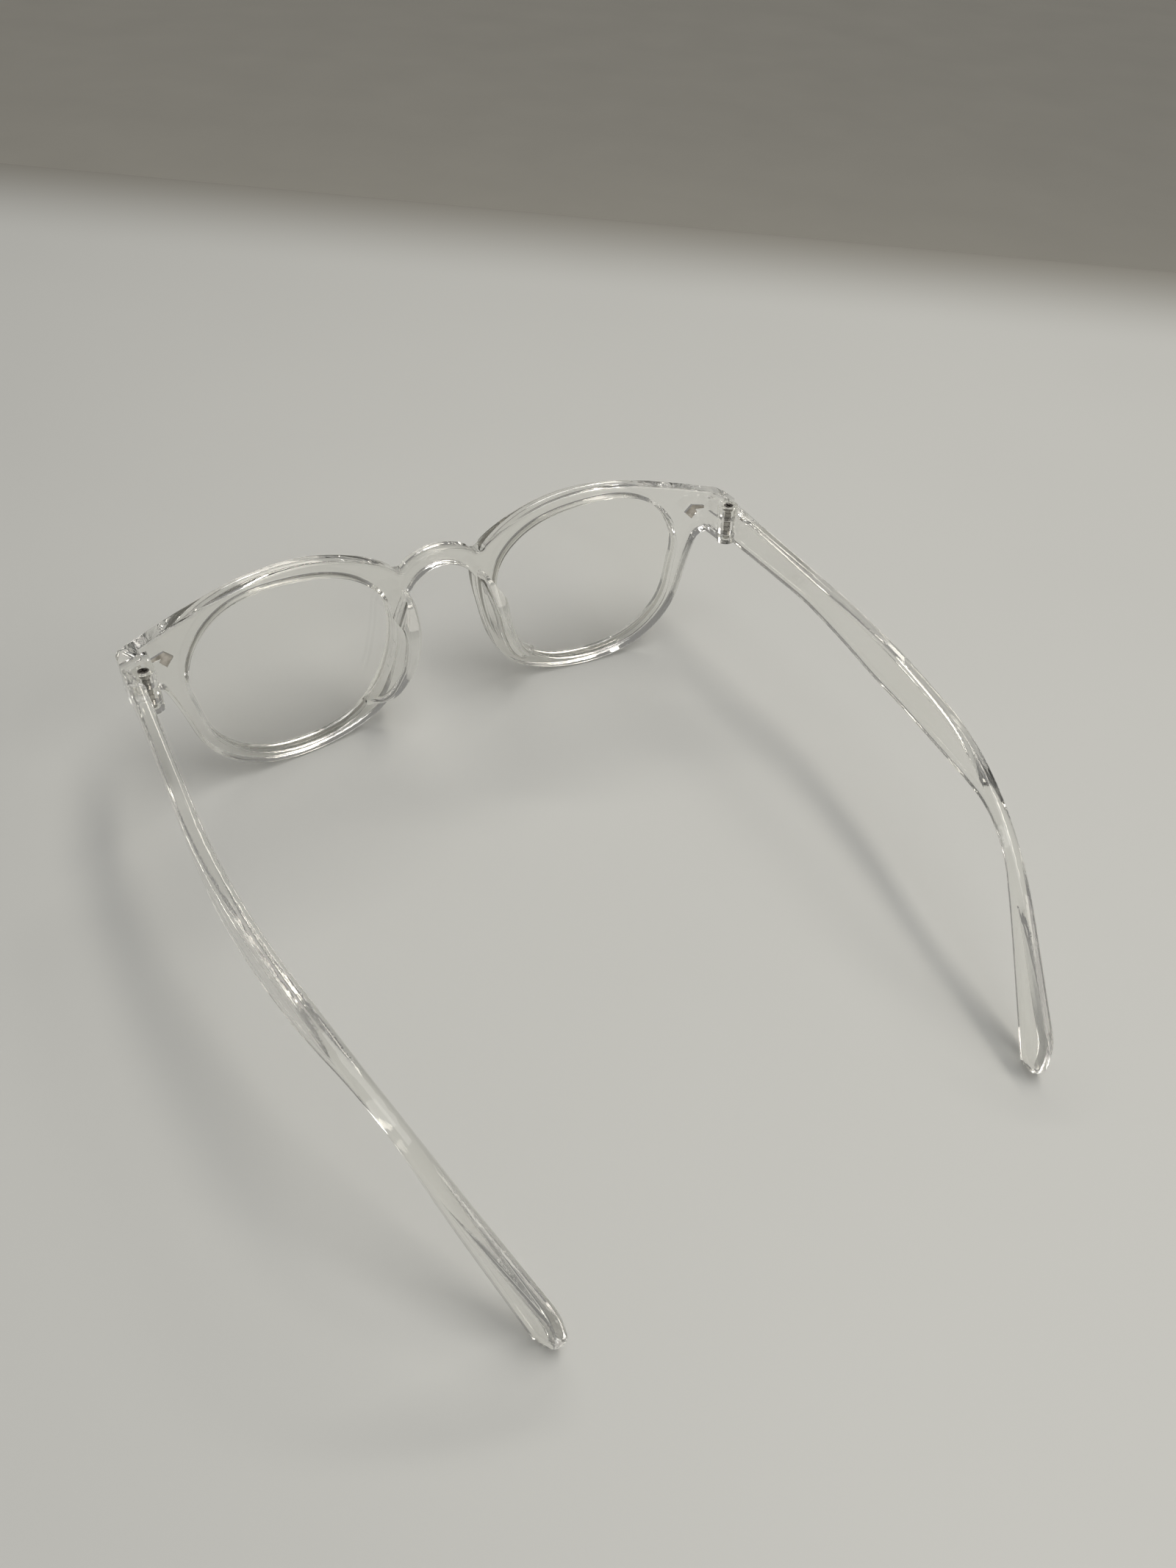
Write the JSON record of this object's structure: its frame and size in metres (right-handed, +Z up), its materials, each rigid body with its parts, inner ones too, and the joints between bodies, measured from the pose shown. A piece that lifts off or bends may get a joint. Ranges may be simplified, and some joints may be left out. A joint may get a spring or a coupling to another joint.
{
  "type": "eyeglasses",
  "caption": "Clear plastic eyeglasses with rounded-square lenses, a keyhole bridge, built-up nose pads, inlaid metal arrow plates and folding side arms on screws.",
  "frame": {"origin": "middle of the bounding box, on the surface that the glasses stand on", "axes": "+X to the wearer's left, -Y the way the wearer looks, +Z up with the temples open and the rims and temple tips standing on a surface"},
  "size_m": [0.1408, 0.1484, 0.0455],
  "materials": {
    "clear_front": "polished clear plastic, faintly warm",
    "clear_pad": "polished clear plastic, faintly warm",
    "clear_temple": "polished clear plastic, faintly warm",
    "lens": "clear optical plastic, polished",
    "arrow_metal": "satin silver-grey",
    "screw_steel": "satin steel"
  },
  "bodies": {
    "front": {"front_frame": "clear_front", "lens_left": "lens", "lens_right": "lens", "nose_pad_left": "clear_pad", "nose_pad_right": "clear_pad", "arrow_plate_left": "arrow_metal", "arrow_plate_right": "arrow_metal", "hinge_screw_left": "screw_steel", "hinge_screw_right": "screw_steel"},
    "temple_left": {"temple_left": "clear_temple"},
    "temple_right": {"temple_right": "clear_temple"}
  },
  "joints": [
    {"name": "temple_fold_left", "type": "hinge", "parent": "front", "child": "temple_left", "pos_m": [0.0658, -0.05665, 0.03127], "axis": [0, -0.0819, 0.9966], "range_deg": [0, 83]},
    {"name": "temple_fold_right", "type": "hinge", "parent": "front", "child": "temple_right", "pos_m": [-0.0658, -0.05665, 0.03127], "axis": [0, 0.0819, -0.9966], "range_deg": [0, 79]}
  ]
}
